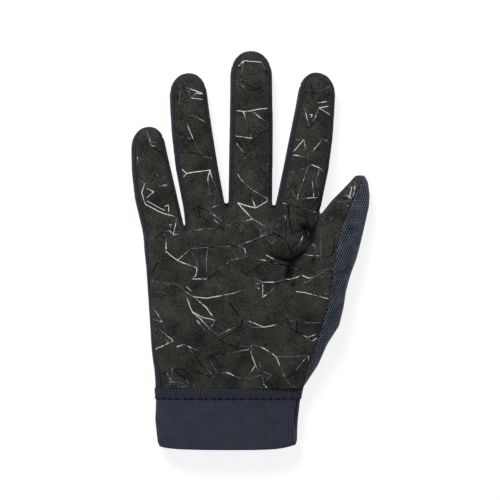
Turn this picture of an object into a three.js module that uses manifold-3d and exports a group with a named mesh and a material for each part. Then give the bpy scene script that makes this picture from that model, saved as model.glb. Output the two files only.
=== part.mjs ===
// A full-finger cycling glove for the right hand, lying palm up on a flat surface.
// It is sewn from a suede palm, a suede thumb, a knitted back, a mesh thumb back and
// three strips between the fingers, and ends in an overlocked seam and an elastic cuff.
// Millimetres. X runs across the palm to the thumb, Y from the cuff to the fingertips, Z up.
import * as THREE from "three";
import { mergeVertices } from "three/addons/utils/BufferGeometryUtils.js";
import Module from "manifold-3d";

const wasm = await Module();
wasm.setup();

// Hand sizes
const palmWidth = 97; // across the knuckles
const palmLength = 98; // from the wrist seam to the highest crotch
const palmHeight = 20; // top of the palm above the surface
const crotchRise = 13; // how far the finger crotches arch above the knuckle line
const fingerLength = 86; // the middle finger
const fingerWidth = 23.7;
const fingerHeight = 14;

// Cloth and seams
const wall = 1.4; // suede, knit and mesh
const seamGap = 0.3; // between two panels
const sideSeam = 1.6; // how far in from the palm's edge and the crotches the suede ends
const stripLeft = 2.4; // the same on the little-finger side of each finger
const stripRight = 1.1; // and on the thumb side
const seamLip = 2.8; // depth of a panel's turned edge
const stripTuck = 4; // how far a strip between two fingers runs below the crotch

// Cuff sizes
const seamBand = 6.2; // length of the overlocked seam
const seamProud = 0.3; // how far it stands out from the wrist
const cuffLength = 27;
const cuffWidth = 79;
const cuffHeight = 14.5;
const cuffWall = 1.8;
const cuffSag = 1.2; // how far the hem's middle hangs below its corners
const cuffShift = 0.9; // how far the cuff sits towards the little finger

// Shape of the sections, as shares of a section's own height and width
const widest = 0.45; // height of the widest line
const flatten = 1.4; // how much of the underside lies flat
const lipHeight = 0.36; // where the suede's edge ends on the thumb's side
const palmSquare = 3;
const fingerSquare = 2.4;
const thumbSquare = 2.3;
const cuffSquare = 2.7;
const cuffTaper = 0.02; // how much narrower the hem is than the cuff's top

// Sides and rows of the meshes
const palmSides = 36;
const fingerSides = 14;
const thumbSides = 18;
const cutSides = 10; // of a cut whose edge arches
const palmSteps = 15;
const thumbSteps = 13;
const stripSteps = 6;
const cuffSteps = 3;
const reach = 6; // how far a cut or a hollow runs past the solid, so that it cuts cleanly
const high = 40; // above everything

// Fingers: root as shares of the palm's width and length, length, width and height as shares of
// the middle finger's, the tip as a share of the finger's own width, lean in degrees towards the
// thumb, and a sideways bow as a share of the finger's length.
const fingers = [
  {
    name: "little", root: [-0.371, 0.915], length: 0.637, width: 0.965,
    tip: 0.77, height: 0.89, lean: -9.2, bow: -0.027,
  },
  {
    name: "ring", root: [-0.139, 1.027], length: 0.851, width: 0.965,
    tip: 0.87, height: 0.96, lean: -7.2, bow: -0.018,
  },
  {
    name: "middle", root: [0.126, 1.016], length: 1, width: 1,
    tip: 0.95, height: 1, lean: 0.35, bow: 0.003,
  },
  {
    name: "index", root: [0.397, 1.01], length: 0.877, width: 1.03,
    tip: 0.8, height: 1, lean: 8.8, bow: 0.017,
  },
].map((finger) => ({
  ...finger,
  length: finger.length * fingerLength,
  width: finger.width * fingerWidth,
  tipWidth: finger.tip * finger.width * fingerWidth,
  height: finger.height * fingerHeight,
}));
const fingerStart = -0.22; // where a finger begins inside the palm, as a share of its length
const fingerTaper = 0.3; // where it starts to narrow
const tipRound = 0.56; // length of the rounded tip, as a share of the finger's width
const fingerShares = [fingerStart, 0, 0.3, 0.55, 0.72]; // sections before the tip
const tipShares = [0, 0.35, 0.62, 0.83, 0.95, 1]; // and along it
const tipSeam = 0.5; // how much closer to the edge a seam lies at the tip
const stripTaper = 0.72; // where a strip between two fingers starts to narrow
const stripEnd = 0.93; // and where it ends, as shares of the finger's length

// Palm sections from the wrist to the knuckles. Left and right are their ends as shares of the
// palm's width and length. Height is a share of its height, arch of the crotch rise and seamIn of
// the side seam. SuedeTo is where the suede meets the thumb mesh, as a share of the width.
const palmRows = [
  { left: [-0.41, 0], right: [0.42, 0], height: 0.74, arch: 0, seamIn: 1.7, suedeTo: 0.408 },
  { left: [-0.413, 0.09], right: [0.431, 0.09], height: 0.84, arch: 0, seamIn: 2.1, suedeTo: 0.442 },
  { left: [-0.427, 0.185], right: [0.442, 0.202], height: 0.93, arch: 0, seamIn: 0.9, suedeTo: 0.485 },
  { left: [-0.438, 0.326], right: [0.465, 0.37], height: 1, arch: 0, seamIn: 0.5, suedeTo: 0.541 },
  { left: [-0.447, 0.466], right: [0.482, 0.522], height: 1, arch: 0, seamIn: 0.5, suedeTo: 0.582 },
  { left: [-0.455, 0.578], right: [0.493, 0.662], height: 0.98, arch: 0.1, seamIn: 0.7, suedeTo: 0.598 },
  { left: [-0.463, 0.69], right: [0.505, 0.774], height: 0.92, arch: 0.35, seamIn: 1, suedeTo: 0.584 },
  { left: [-0.473, 0.774], right: [0.513, 0.853], height: 0.84, arch: 0.65, seamIn: 1.1, suedeTo: 0.561 },
  { left: [-0.476, 0.831], right: [0.519, 0.909], height: 0.76, arch: 0.88, seamIn: 1.2, suedeTo: 0.536 },
  { left: [-0.479, 0.853], right: [0.523, 0.952], height: 0.56, arch: 1, seamIn: 1.2, suedeTo: 0.523 },
];
const archRise = [0.16, 0.43]; // where the crotch line climbs, as shares across the knuckles
const archFall = [0.55, 1.08]; // and where it comes down

// Thumb sections from the tip to the wrist, in the same shares.
const thumbRows = [
  { left: [0.728, 1.193], right: [0.776, 1.193], height: 0.3 },
  { left: [0.702, 1.165], right: [0.793, 1.16], height: 0.5 },
  { left: [0.658, 1.117], right: [0.802, 1.094], height: 0.65 },
  { left: [0.6, 1.061], right: [0.8, 1.033], height: 0.76 },
  { left: [0.547, 0.999], right: [0.786, 0.965], height: 0.82 },
  { left: [0.493, 0.92], right: [0.764, 0.876], height: 0.87 },
  { left: [0.442, 0.831], right: [0.742, 0.774], height: 0.92 },
  { left: [0.403, 0.73], right: [0.71, 0.679], height: 0.96 },
  { left: [0.363, 0.629], right: [0.679, 0.601], height: 0.99 },
  { left: [0.318, 0.528], right: [0.662, 0.511], height: 1.01 },
  { left: [0.278, 0.427], right: [0.648, 0.421], height: 1.01 },
  { left: [0.238, 0.326], right: [0.621, 0.331], height: 0.99 },
  { left: [0.204, 0.224], right: [0.551, 0.23], height: 0.93 },
  { left: [0.176, 0.123], right: [0.505, 0.123], height: 0.85 },
  { left: [0.153, 0], right: [0.426, 0], height: 0.73 },
];

// Plan of the suede thumb panel, from the tip down. Left is its seam to the palm, and right its
// seam to the mesh.
const thumbPanelRows = [
  { left: [0.66, 1.23], right: [0.815, 1.23] },
  { left: [0.62, 1.165], right: [0.768, 1.165] },
  { left: [0.58, 1.08], right: [0.731, 1.106] },
  { left: [0.545, 1.021], right: [0.695, 1.027] },
  { left: [0.524, 0.96], right: [0.658, 0.943] },
  { left: [0.476, 0.876], right: [0.635, 0.853] },
  { left: [0.425, 0.791], right: [0.618, 0.774] },
  { left: [0.394, 0.718], right: [0.607, 0.718] },
  { left: [0.403, 0.651], right: [0.601, 0.693] },
  { left: [0.425, 0.584], right: [0.601, 0.68] },
];

// Left edge, in plan, of the mesh over the thumb's back, from its tip to the wrist.
const meshEdge = [
  [0.7, 1.3],
  [0.64, 1.17],
  [0.593, 1.1],
  [0.55, 1.033],
  [0.526, 0.965],
  [0.49, 0.8],
  [0.465, 0.6],
  [0.455, 0.35],
  [0.44, 0.12],
  [0.424, -0.08],
];

// Folds of the suede: a valley along a line in plan. Its width is a share of the palm's width and
// its depth of the palm's height. A depth below nothing is a mound.
const folds = [
  { at: "the thumb's crotch", from: [0.53, 0.985], to: [0.454, 0.842], width: 0.05, depth: 0.24 },
  { at: "below the pad", from: [0.249, 0.746], to: [0.391, 0.73], width: 0.05, depth: 0.1 },
  { at: "the pad", from: [0.3, 0.83], to: [0.38, 0.82], width: 0.09, depth: -0.07 },
  { at: "the thumb's root", from: [0.363, 0.71], to: [0.34, 0.55], width: 0.055, depth: 0.15 },
  { at: "beside the root", from: [0.493, 0.741], to: [0.482, 0.662], width: 0.045, depth: 0.08 },
  { at: "the little finger's root", from: [-0.43, 0.93], to: [-0.27, 0.87], width: 0.05, depth: 0.06 },
  { at: "the middle finger's root", from: [0.03, 1], to: [0.22, 0.99], width: 0.05, depth: 0.05 },
];

const { lerp, smoothstep } = THREE.MathUtils;
const planPoint = ([across, along]) => new THREE.Vector2(across * palmWidth, along * palmLength);

// How far the suede dips at a place in plan.
function foldDepth(x, y) {
  let depth = 0;
  for (const fold of folds) {
    const from = planPoint(fold.from);
    const line = planPoint(fold.to).sub(from);
    const place = new THREE.Vector2(x, y).sub(from);
    const share = THREE.MathUtils.clamp(place.dot(line) / line.lengthSq(), 0, 1);
    const away = place.sub(line.multiplyScalar(share)).length() / (fold.width * palmWidth);
    depth += fold.depth * palmHeight * Math.exp(-away * away);
  }
  return depth;
}

// The crotch line's rise at a share across the knuckles.
const archAt = (share) => smoothstep(share, ...archRise) * (1 - smoothstep(share, ...archFall));

// Heights of a section's widest line, and of its top above and its underside below that line.
// Fullness shrinks both, as at a fingertip.
function heights({ height, fullness = 1 }, inset) {
  const middle = widest * height;
  return { middle, up: (height - middle - inset) * fullness, down: (middle - inset) * fullness };
}

// How high a section is at a share of its half-width, as a share of its full height.
const rise = (share, square) => (1 - Math.abs(share) ** square) ** (1 / square);
const undersideShare = (share, square) => Math.min(1, flatten * rise(share, square));

function sectionRing(section, sides, inset) {
  const { middle, up, down } = heights(section, inset);
  const across = section.right.clone().sub(section.left);
  const centre = section.left.clone().add(section.right).multiplyScalar(0.5);
  const toSide = across.clone().setLength(across.length() / 2 - inset);
  return Array.from({ length: sides }, (_, i) => {
    // The rows of points are paired about the widest line, so each pair shares its place in plan.
    const upper = i <= sides / 2;
    const share = Math.cos((2 * Math.PI * (upper ? i : sides - i)) / sides);
    const place = centre.clone().addScaledVector(toSide, share);
    place.y += section.arch ? section.arch * archAt((1 + share) / 2) : 0;
    const v = rise(share, section.square);
    const dip = foldDepth(place.x, place.y) * v;
    const z = upper ? middle + up * v - dip : middle - down * undersideShare(share, section.square);
    return new THREE.Vector3(place.x, place.y, z);
  });
}

// Height of a section's top, or of its underside, at a place some way in from its edge.
function shareAt({ left, right }, inFromEdge) {
  return Math.max(0, 1 - inFromEdge / (right.distanceTo(left) / 2));
}
function topAt(section, inFromEdge) {
  const { middle, up } = heights(section, 0);
  return middle + up * rise(shareAt(section, inFromEdge), section.square);
}
function undersideAt(section, inFromEdge) {
  const { middle, down } = heights(section, 0);
  return middle - down * undersideShare(shareAt(section, inFromEdge), section.square);
}

// A closed geometry through rings of equal count. Each end is closed by rungs from the ring's
// upper points to the lower points below them, so that an arched end stays upright. The rungs
// pair the points from the first, or with a turn of 1 from between the last and the first.
function loft(rings, turn = 0) {
  const sides = rings[0].length;
  const faces = [];
  for (let r = 0; r + 1 < rings.length; r++) {
    for (let i = 0; i < sides; i++) {
      const a = r * sides + i;
      const b = r * sides + ((i + 1) % sides);
      faces.push(a, a + sides, b, b, a + sides, b + sides);
    }
  }
  const last = (rings.length - 1) * sides;
  const below = (i) => (2 * sides - i - turn) % sides;
  for (let a = 0; a + 1 < sides / 2 + 1 - turn; a++) {
    const b = a + 1;
    faces.push(a, b, below(b), a, below(b), below(a));
    faces.push(last + b, last + a, last + below(b), last + below(b), last + a, last + below(a));
  }
  return new THREE.BufferGeometry().setFromPoints(rings.flat()).setIndex(faces);
}

function solid(geometry) {
  const bare = new THREE.BufferGeometry();
  bare.setAttribute("position", geometry.getAttribute("position")).setIndex(geometry.index);
  const merged = mergeVertices(bare, 1e-4);
  const vertProperties = new Float32Array(merged.attributes.position.array);
  const triVerts = new Uint32Array(merged.index.array);
  return new wasm.Manifold(new wasm.Mesh({ numProp: 3, vertProperties, triVerts }));
}

const join = (parts) => parts.reduce((sum, part) => sum.add(part));

// A place on a finger's centre line, at a share of its length, and the direction across it.
function onFinger(finger, share) {
  const lean = THREE.MathUtils.degToRad(finger.lean);
  const ahead = new THREE.Vector2(Math.sin(lean), Math.cos(lean));
  const aside = new THREE.Vector2(ahead.y, -ahead.x);
  const bow = finger.bow * finger.length * 4 * Math.max(0, share) * (1 - share);
  const centre = planPoint(finger.root).addScaledVector(ahead, share * finger.length);
  return { centre: centre.addScaledVector(aside, bow), aside };
}

// Sections of one finger, from inside the palm to its tip. The cavity of a finger is the same
// finger with each size taken in by the wall.
function fingerSections(finger, inset = 0) {
  const tipStart = 1 - (tipRound * finger.tipWidth) / finger.length;
  const tipEnd = 1 - inset / finger.length;
  const shares = [
    ...fingerShares.filter((share) => share < tipStart),
    ...tipShares.map((share) => lerp(tipStart, tipEnd, share)),
  ];
  return shares.map((share) => {
    const { centre, aside } = onFinger(finger, share);
    const alongTip = Math.max(0, (share - tipStart) / (tipEnd - tipStart));
    const fullness = Math.sqrt(Math.max(0, 1 - alongTip ** 2));
    const width = lerp(finger.width, finger.tipWidth, smoothstep(share, fingerTaper, 1));
    const half = (width / 2 - inset) * fullness + inset;
    const left = centre.clone().addScaledVector(aside, -half);
    const right = centre.clone().addScaledVector(aside, half);
    return { left, right, aside, fullness, height: finger.height, square: fingerSquare };
  });
}

// Smooth sections through a table's rows.
function rowSections(rows, steps, square) {
  const curve = (value) => {
    const points = rows.map((row) => new THREE.Vector3(...value(row)));
    return new THREE.CatmullRomCurve3(points).getPoints(steps);
  };
  const lefts = curve((row) => [...planPoint(row.left), (row.height ?? 0) * palmHeight]);
  const rights = curve((row) => [...planPoint(row.right), (row.arch ?? 0) * crotchRise]);
  const seams = curve((row) => [(row.seamIn ?? 0) * sideSeam, (row.suedeTo ?? 0) * palmWidth, 0]);
  return lefts.map((left, i) => ({
    left: new THREE.Vector2(left.x, left.y),
    right: new THREE.Vector2(rights[i].x, rights[i].y),
    height: left.z,
    arch: rights[i].z,
    seamIn: seams[i].x,
    suedeTo: seams[i].y,
    square,
  }));
}

const shifted = (section, dy) => ({
  ...section,
  left: section.left.clone().setY(section.left.y + dy),
  right: section.right.clone().setY(section.right.y + dy),
});
const palmSections = rowSections(palmRows, palmSteps, palmSquare);
const thumbSections = rowSections(thumbRows, thumbSteps, thumbSquare);

// The palm's sections with the last one moved back from the crotches, past its neighbour.
const endedShort = (by) => [...palmSections.slice(0, -2), shifted(palmSections.at(-1), -by)];

// The palm ends flat at the wrist. Its cavity runs out there, and stops short of the crotches.
function palmBody(inset) {
  const sections = inset ? [shifted(palmSections[0], -reach), ...endedShort(inset)] : palmSections;
  return solid(loft(sections.map((s) => sectionRing(s, palmSides, inset))));
}

// The thumb's cavity starts where there is room for it. Its table runs from the tip down, so its
// rings are turned to run the way the palm's do.
function thumbBody(inset) {
  const sections = thumbSections.filter((s) => s.left.distanceTo(s.right) > 4 * inset);
  if (inset) sections.push(shifted(thumbSections.at(-1), -reach));
  return solid(loft(sections.map((s) => sectionRing(s, thumbSides, inset)).reverse()));
}

function fingerBody(finger, inset) {
  return solid(loft(fingerSections(finger, inset).map((s) => sectionRing(s, fingerSides, inset))));
}

const form = (inset) =>
  join([palmBody(inset), thumbBody(inset), ...fingers.map((f) => fingerBody(f, inset))]);

// One ring of a cut: a line in plan from left to right, with a low and a high end at each side.
const throughAll = { low: [-reach, -reach], high: [high, high] };
function cutRing({ left, right, low, high, arch = 0, sides = 1 }) {
  const column = (share, ends) => {
    const x = lerp(left.x, right.x, share);
    const y = lerp(left.y, right.y, share) + arch * archAt(share);
    return new THREE.Vector3(x, y, lerp(...ends, share));
  };
  const shares = Array.from({ length: sides + 1 }, (_, i) => i / sides);
  const top = shares.map((share) => column(share, high));
  return [...top.reverse(), ...shares.map((share) => column(share, low))];
}
const cut = (rings) => solid(loft(rings.map(cutRing), 1));

// What belongs to the suede of the palm. Each cut is grown by a margin past its seam, or taken in
// where the margin is below nothing.
function palmCut(margin) {
  const rings = endedShort(sideSeam - margin).map((s) => {
    const inFromEdge = s.seamIn - margin;
    return {
      ...s,
      left: s.left.clone().setX(s.left.x + inFromEdge),
      right: s.right.clone().setX(s.suedeTo + margin),
      low: [topAt(s, inFromEdge) - seamLip - margin, s.height * lipHeight - margin],
      high: throughAll.high,
      sides: cutSides,
    };
  });
  return cut([shifted(rings[0], -reach), ...rings]);
}

// The back of the palm, up to where the strips between the fingers begin.
function palmBackCut(margin) {
  const top = [seamLip + margin, seamLip + margin];
  const sections = endedShort(sideSeam - margin);
  return cut(sections.map((s) => ({ ...s, low: throughAll.low, high: top, sides: cutSides })));
}

// The suede or the back of one finger. Its seam lies closer to the edge at the tip.
function fingerCut(finger, margin, side) {
  const sections = fingerSections(finger);
  const rings = sections.slice(0, -1).map((s) => {
    const share = lerp(tipSeam, 1, s.fullness ** 2);
    const left = (side === "back" ? stripRight : stripLeft) * share - margin;
    const right = stripRight * share - margin;
    const ends = {
      left: s.left.clone().addScaledVector(s.aside, left),
      right: s.right.clone().addScaledVector(s.aside, -right),
    };
    if (side === "back") {
      const top = [undersideAt(s, left), undersideAt(s, right)].map((z) => z + seamLip + margin);
      return { ...ends, low: throughAll.low, high: top };
    }
    const bottom = [topAt(s, left), topAt(s, right)].map((z) => z - seamLip - margin);
    return { ...ends, low: bottom, high: throughAll.high };
  });
  return cut([...rings, tipRing(rings.at(-1), sections.at(-1), margin)]);
}

// The last ring of a finger's cut: the one before it, half as wide, moved up to the tip's seam.
function tipRing(ring, tip, margin) {
  const middle = ring.left.clone().add(ring.right).multiplyScalar(0.5);
  const toTip = tip.left.clone().sub(middle);
  toTip.setLength(toTip.length() - tipSeam * stripRight + margin);
  const moved = (point) => point.clone().lerp(middle, 0.5).add(toTip);
  return { ...ring, left: moved(ring.left), right: moved(ring.right) };
}

function thumbPanelCut(margin) {
  const bottom = palmHeight * lipHeight - margin;
  const rings = rowSections(thumbPanelRows, thumbSteps).map((s) => ({
    left: s.left.clone().setX(s.left.x - margin),
    right: s.right.clone().setX(s.right.x + margin),
    low: [bottom, bottom],
    high: throughAll.high,
  }));
  rings.push(shifted(rings.pop(), -margin));
  return cut(rings.reverse());
}

// Everything on the thumb's side of the mesh's edge.
function meshCut(margin) {
  const places = meshEdge.map(planPoint);
  const edge = new THREE.CatmullRomCurve3(places.map(({ x, y }) => new THREE.Vector3(x, y, 0)));
  const rings = edge.getPoints(thumbSteps).map(({ x, y }) => ({
    ...throughAll,
    left: new THREE.Vector2(x - margin, y),
    right: new THREE.Vector2(palmWidth, y),
  }));
  return cut(rings.reverse());
}

// The crotch between two fingers, on the palm's last section.
function crotchBetween(finger, next) {
  const { left, right, arch } = palmSections.at(-1);
  const x = planPoint(finger.root).add(planPoint(next.root)).x / 2;
  const share = (x - left.x) / (right.x - left.x);
  return lerp(left.y, right.y, share) + arch * archAt(share);
}

// The room between two neighbouring fingers, from below their crotch. It closes on their edges
// before their tips.
function betweenCut(finger, next, margin) {
  const start = crotchBetween(finger, next) - stripTuck;
  const place = (f, step) => {
    const first = (start - planPoint(f.root).y) / f.length;
    const share = lerp(first, stripEnd, step);
    const out = (smoothstep(share, stripTaper, stripEnd) * f.width) / 2;
    return { ...onFinger(f, share), out };
  };
  const rings = Array.from({ length: stripSteps + 1 }, (_, i) => {
    const [a, b] = [finger, next].map((f) => place(f, i / stripSteps));
    return {
      ...throughAll,
      left: a.centre.addScaledVector(a.aside, a.out - margin),
      right: b.centre.addScaledVector(b.aside, margin - b.out),
    };
  });
  return cut(rings);
}

// A tube through sections of the wrist or the cuff.
function tube(sections, thickness) {
  const outer = solid(loft(sections.map((s) => sectionRing(s, palmSides, 0))));
  const hollow = [shifted(sections[0], -reach), ...sections, shifted(sections.at(-1), reach)];
  return outer.subtract(solid(loft(hollow.map((s) => sectionRing(s, palmSides, thickness)))));
}

const wrist = { ...palmSections[0], square: cuffSquare };

function seamTube() {
  const sections = [-seamBand, -seamGap].map((y) => {
    const section = shifted(wrist, y);
    section.left.x -= seamProud;
    section.right.x += seamProud;
    section.height += seamProud;
    return section;
  });
  return tube(sections, cuffWall);
}

function cuffTube() {
  const middle = (wrist.left.x + wrist.right.x) / 2 - cuffShift;
  const sections = Array.from({ length: cuffSteps + 1 }, (_, i) => {
    const share = 1 - i / cuffSteps;
    const y = lerp(-seamBand - seamGap, -seamBand - cuffLength, share);
    const half = (cuffWidth / 2) * (1 - cuffTaper * share);
    return {
      left: new THREE.Vector2(middle - half, y),
      right: new THREE.Vector2(middle + half, y),
      height: lerp(wrist.height, cuffHeight, share),
      arch: -cuffSag * smoothstep(share, 0, 1),
      square: cuffSquare,
    };
  });
  return tube(sections, cuffWall);
}

// The shell is the outer form without its cavity. The panels are cut from it along the seams.
const shell = form(0).subtract(form(wall));
const half = seamGap / 2;
const pairs = fingers.slice(1).map((next, i) => [fingers[i], next]);
const fingerCuts = (margin, side) => fingers.map((f) => fingerCut(f, margin, side));
const suedeCut = (margin) =>
  join([palmCut(margin), thumbPanelCut(margin), ...fingerCuts(margin, "palm")]);
const backCut = (margin) => join([palmBackCut(margin), ...fingerCuts(margin, "back")]);

const suede = shell.intersect(suedeCut(-half));
const rest = shell.subtract(suedeCut(half));
const strips = pairs.map(([a, b]) => rest.intersect(betweenCut(a, b, -half)).subtract(backCut(half)));
const stripRoom = join(pairs.map(([a, b]) => betweenCut(a, b, half))).subtract(backCut(-half));
const backs = rest.subtract(stripRoom);

// Colours and finishes
const suedeFinish = { color: 0x3d3d39, roughness: 0.95, metalness: 0 };
const knitFinish = { color: 0x2b3040, roughness: 0.85, metalness: 0 };
const meshFinish = { color: 0x39404f, roughness: 0.8, metalness: 0 };
const elasticFinish = { color: 0x2f313e, roughness: 0.8, metalness: 0 };

// A named mesh of the largest body of a shape, without the slivers that cuts leave at a seam's end.
function piece(name, shape, finish) {
  const body = shape.decompose().reduce((a, b) => (b.volume() > a.volume() ? b : a));
  const { vertProperties, triVerts } = body.getMesh();
  const geometry = new THREE.BufferGeometry();
  geometry.setAttribute("position", new THREE.BufferAttribute(new Float32Array(vertProperties), 3));
  geometry.setIndex(new THREE.BufferAttribute(new Uint32Array(triVerts), 1));
  geometry.computeVertexNormals();
  const mesh = new THREE.Mesh(geometry, new THREE.MeshStandardMaterial(finish));
  mesh.name = name;
  return mesh;
}

const glove = new THREE.Group();
glove.add(piece("palm_panel", suede.subtract(thumbPanelCut(half)), suedeFinish));
glove.add(piece("thumb_panel", suede.intersect(thumbPanelCut(-half)), suedeFinish));
glove.add(piece("back_panel", backs.subtract(meshCut(half)), knitFinish));
glove.add(piece("thumb_back", backs.intersect(meshCut(-half)), meshFinish));
pairs.forEach(([a, b], i) => {
  glove.add(piece(`finger_strip_${a.name}_${b.name}`, strips[i], knitFinish));
});
glove.add(piece("cuff_seam", seamTube(), elasticFinish));
glove.add(piece("cuff_band", cuffTube(), elasticFinish));

// The origin is the middle of the glove's box, on the surface that it lies on.
const box = new THREE.Box3().setFromObject(glove);
const middle = box.getCenter(new THREE.Vector3());
glove.position.set(-middle.x, -middle.y, -box.min.z);

export default glove;
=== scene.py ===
import math
import random

import bmesh
import bpy
import numpy as np
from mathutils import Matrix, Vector, geometry, noise
from mathutils.bvhtree import BVHTree


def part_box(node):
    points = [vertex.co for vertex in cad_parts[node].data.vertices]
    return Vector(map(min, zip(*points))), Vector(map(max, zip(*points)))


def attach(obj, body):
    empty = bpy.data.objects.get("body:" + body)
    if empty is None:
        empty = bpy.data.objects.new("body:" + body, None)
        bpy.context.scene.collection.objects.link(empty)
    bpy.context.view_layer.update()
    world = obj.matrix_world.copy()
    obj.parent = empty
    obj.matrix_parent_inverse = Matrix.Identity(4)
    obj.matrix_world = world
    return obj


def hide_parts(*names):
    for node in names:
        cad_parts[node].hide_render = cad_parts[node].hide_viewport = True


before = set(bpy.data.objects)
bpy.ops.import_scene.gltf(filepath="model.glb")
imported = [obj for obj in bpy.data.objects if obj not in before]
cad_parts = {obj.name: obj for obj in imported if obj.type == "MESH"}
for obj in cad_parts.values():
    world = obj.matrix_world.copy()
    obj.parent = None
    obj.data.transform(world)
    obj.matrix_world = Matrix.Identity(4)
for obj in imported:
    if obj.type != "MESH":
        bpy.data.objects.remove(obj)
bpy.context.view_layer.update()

mm = 0.001
random.seed(11)
noise.seed_set(11)

# Panels of the glove and the CAD nodes that they stand for. Roll is the radius of the turned edge,
# and growth how far the CAD panel swells to close its gaps before the form is made.
broad = {"growth": 0.3 * mm}
narrow = {"growth": 0.04 * mm, "roll": 0.5 * mm, "finish": "knit"}
panels = {
    "palm_suede": {**broad, "node": "palm_panel", "finish": "suede", "roll": 0.75 * mm},
    "thumb_suede": {**broad, "node": "thumb_panel", "finish": "suede", "roll": 0.75 * mm},
    "back_knit": {**broad, "node": "back_panel", "finish": "knit", "roll": 0.45 * mm},
    "thumb_mesh": {**broad, "node": "thumb_back", "finish": "mesh", "roll": 0.45 * mm},
    "strip_little_ring": {**narrow, "node": "finger_strip_little_ring"},
    "strip_ring_middle": {**narrow, "node": "finger_strip_ring_middle"},
    "strip_middle_index": {**narrow, "node": "finger_strip_middle_index"},
}
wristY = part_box("palm_panel")[0].y


def selectOnly(thing):
    bpy.ops.object.select_all(action="DESELECT")
    thing.select_set(True)
    bpy.context.view_layer.objects.active = thing


def applied(thing, kind, **settings):  # adds a modifier and applies it
    selectOnly(thing)
    modifier = thing.modifiers.new(kind.title(), kind)
    for name, value in settings.items():
        setattr(modifier, name, value)
    bpy.ops.object.modifier_apply(modifier=modifier.name)


def objectFrom(name, points, faces):
    mesh = bpy.data.meshes.new(name)
    mesh.from_pydata([tuple(p) for p in points], [], [tuple(f) for f in faces])
    mesh.validate()
    thing = bpy.data.objects.new(name, mesh)
    bpy.context.scene.collection.objects.link(thing)
    mesh.polygons.foreach_set("use_smooth", [True] * len(mesh.polygons))
    return thing


def carry(thing, name, values, domain="POINT"):  # gives the points or faces a value for the finish
    thing.data.attributes.new(name, "FLOAT", domain).data.foreach_set("value", values)


def smoothstep(value, low, high):
    share = np.clip((value - low) / (high - low), 0, 1)
    return share * share * (3 - 2 * share)


# Finishes
class Wire:  # a shader value that takes part in Python expressions
    def __init__(self, finish, socket):
        self.finish = finish
        self.socket = socket

    def math(self, operation, *values):
        return self.finish.node("ShaderNodeMath", {"operation": operation}, *values)

    def __add__(self, other):
        return self.math("ADD", self, other)

    def __sub__(self, other):
        return self.math("SUBTRACT", self, other)

    def __rsub__(self, other):
        return self.math("SUBTRACT", other, self)

    def __mul__(self, other):
        return self.math("MULTIPLY", self, other)

    def __truediv__(self, other):
        return self.math("DIVIDE", self, other)

    __radd__ = __add__
    __rmul__ = __mul__

    def step(self, low, high):  # from 0 at low to 1 at high, softly
        settings = {"interpolation_type": "SMOOTHSTEP"}
        return self.finish.node("ShaderNodeMapRange", settings, self, low, high, 0, 1)


class Finish:  # a material whose nodes are written as expressions
    def __init__(self, name):
        self.material = bpy.data.materials.new(name)
        self.material.use_nodes = True
        self.tree = self.material.node_tree
        self.shader = self.tree.nodes["Principled BSDF"]

    def node(self, kind, settings, *values, out=0, **named):
        made = self.tree.nodes.new(kind)
        for name, value in settings.items():
            setattr(made, name, value)
        for place, value in [*enumerate(values), *named.items()]:
            if isinstance(value, Wire):
                self.tree.links.new(value.socket, made.inputs[place])
            elif value is not None:
                made.inputs[place].default_value = value
        return Wire(self, made.outputs[out])

    def place(self):
        return self.node("ShaderNodeTexCoord", {}, out="Object")

    def axes(self):  # x, y and z of the place
        parts = self.node("ShaderNodeSeparateXYZ", {}, self.place()).socket.node
        return [Wire(self, output) for output in parts.outputs]

    def noise(self, size, detail, roughness):  # size in metres
        named = {"Scale": 1 / size, "Detail": detail, "Roughness": roughness}
        return self.node("ShaderNodeTexNoise", {}, Vector=self.place(), **named)

    def mixed(self, share, first, second):  # two colours
        between = [None] * 5  # the node's sockets for numbers and vectors
        return self.node("ShaderNodeMix", {"data_type": "RGBA"}, share, *between, first, second, out=2)

    def set(self, **values):
        for name, value in values.items():
            socket = self.shader.inputs[name.replace("_", " ")]
            if isinstance(value, Wire):
                self.tree.links.new(value.socket, socket)
            else:
                socket.default_value = value

    def carried(self, name):  # a value that the piece's points carry
        return self.node("ShaderNodeAttribute", {"attribute_name": name}, out="Fac")

    def bump(self, height, distance, strength):
        named = {"Strength": strength, "Distance": distance, "Height": height}
        return self.node("ShaderNodeBump", {}, **named)


def colour(red, green, blue):  # from the 0 to 255 values that a picture shows
    def linear(value):
        share = value / 255
        return share / 12.92 if share <= 0.04045 else ((share + 0.055) / 1.055) ** 2.4

    return (linear(red), linear(green), linear(blue), 1)


woolly = {"Sheen_Weight": 0.05, "Specular_IOR_Level": 0.2}  # how the knitted and woven cloth shines

suede = {
    "light": colour(68, 66, 61),
    "dark": colour(16, 17, 17),
    "green": colour(42, 45, 39),
    # painted shade: the colour that the suede's folds are darkened towards
    "fold": colour(3, 3, 4),
    "ridge_highlight": colour(98, 104, 104),  # painted highlight along the ridges
    "patch": 11 * mm,
    "nap": 1.1 * mm,
    "fibre": 0.4 * mm,
    "tint": 17 * mm,
    "contrast": (0.48, 0.74),
    "tinted": (0.45, 0.75),
}


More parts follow.
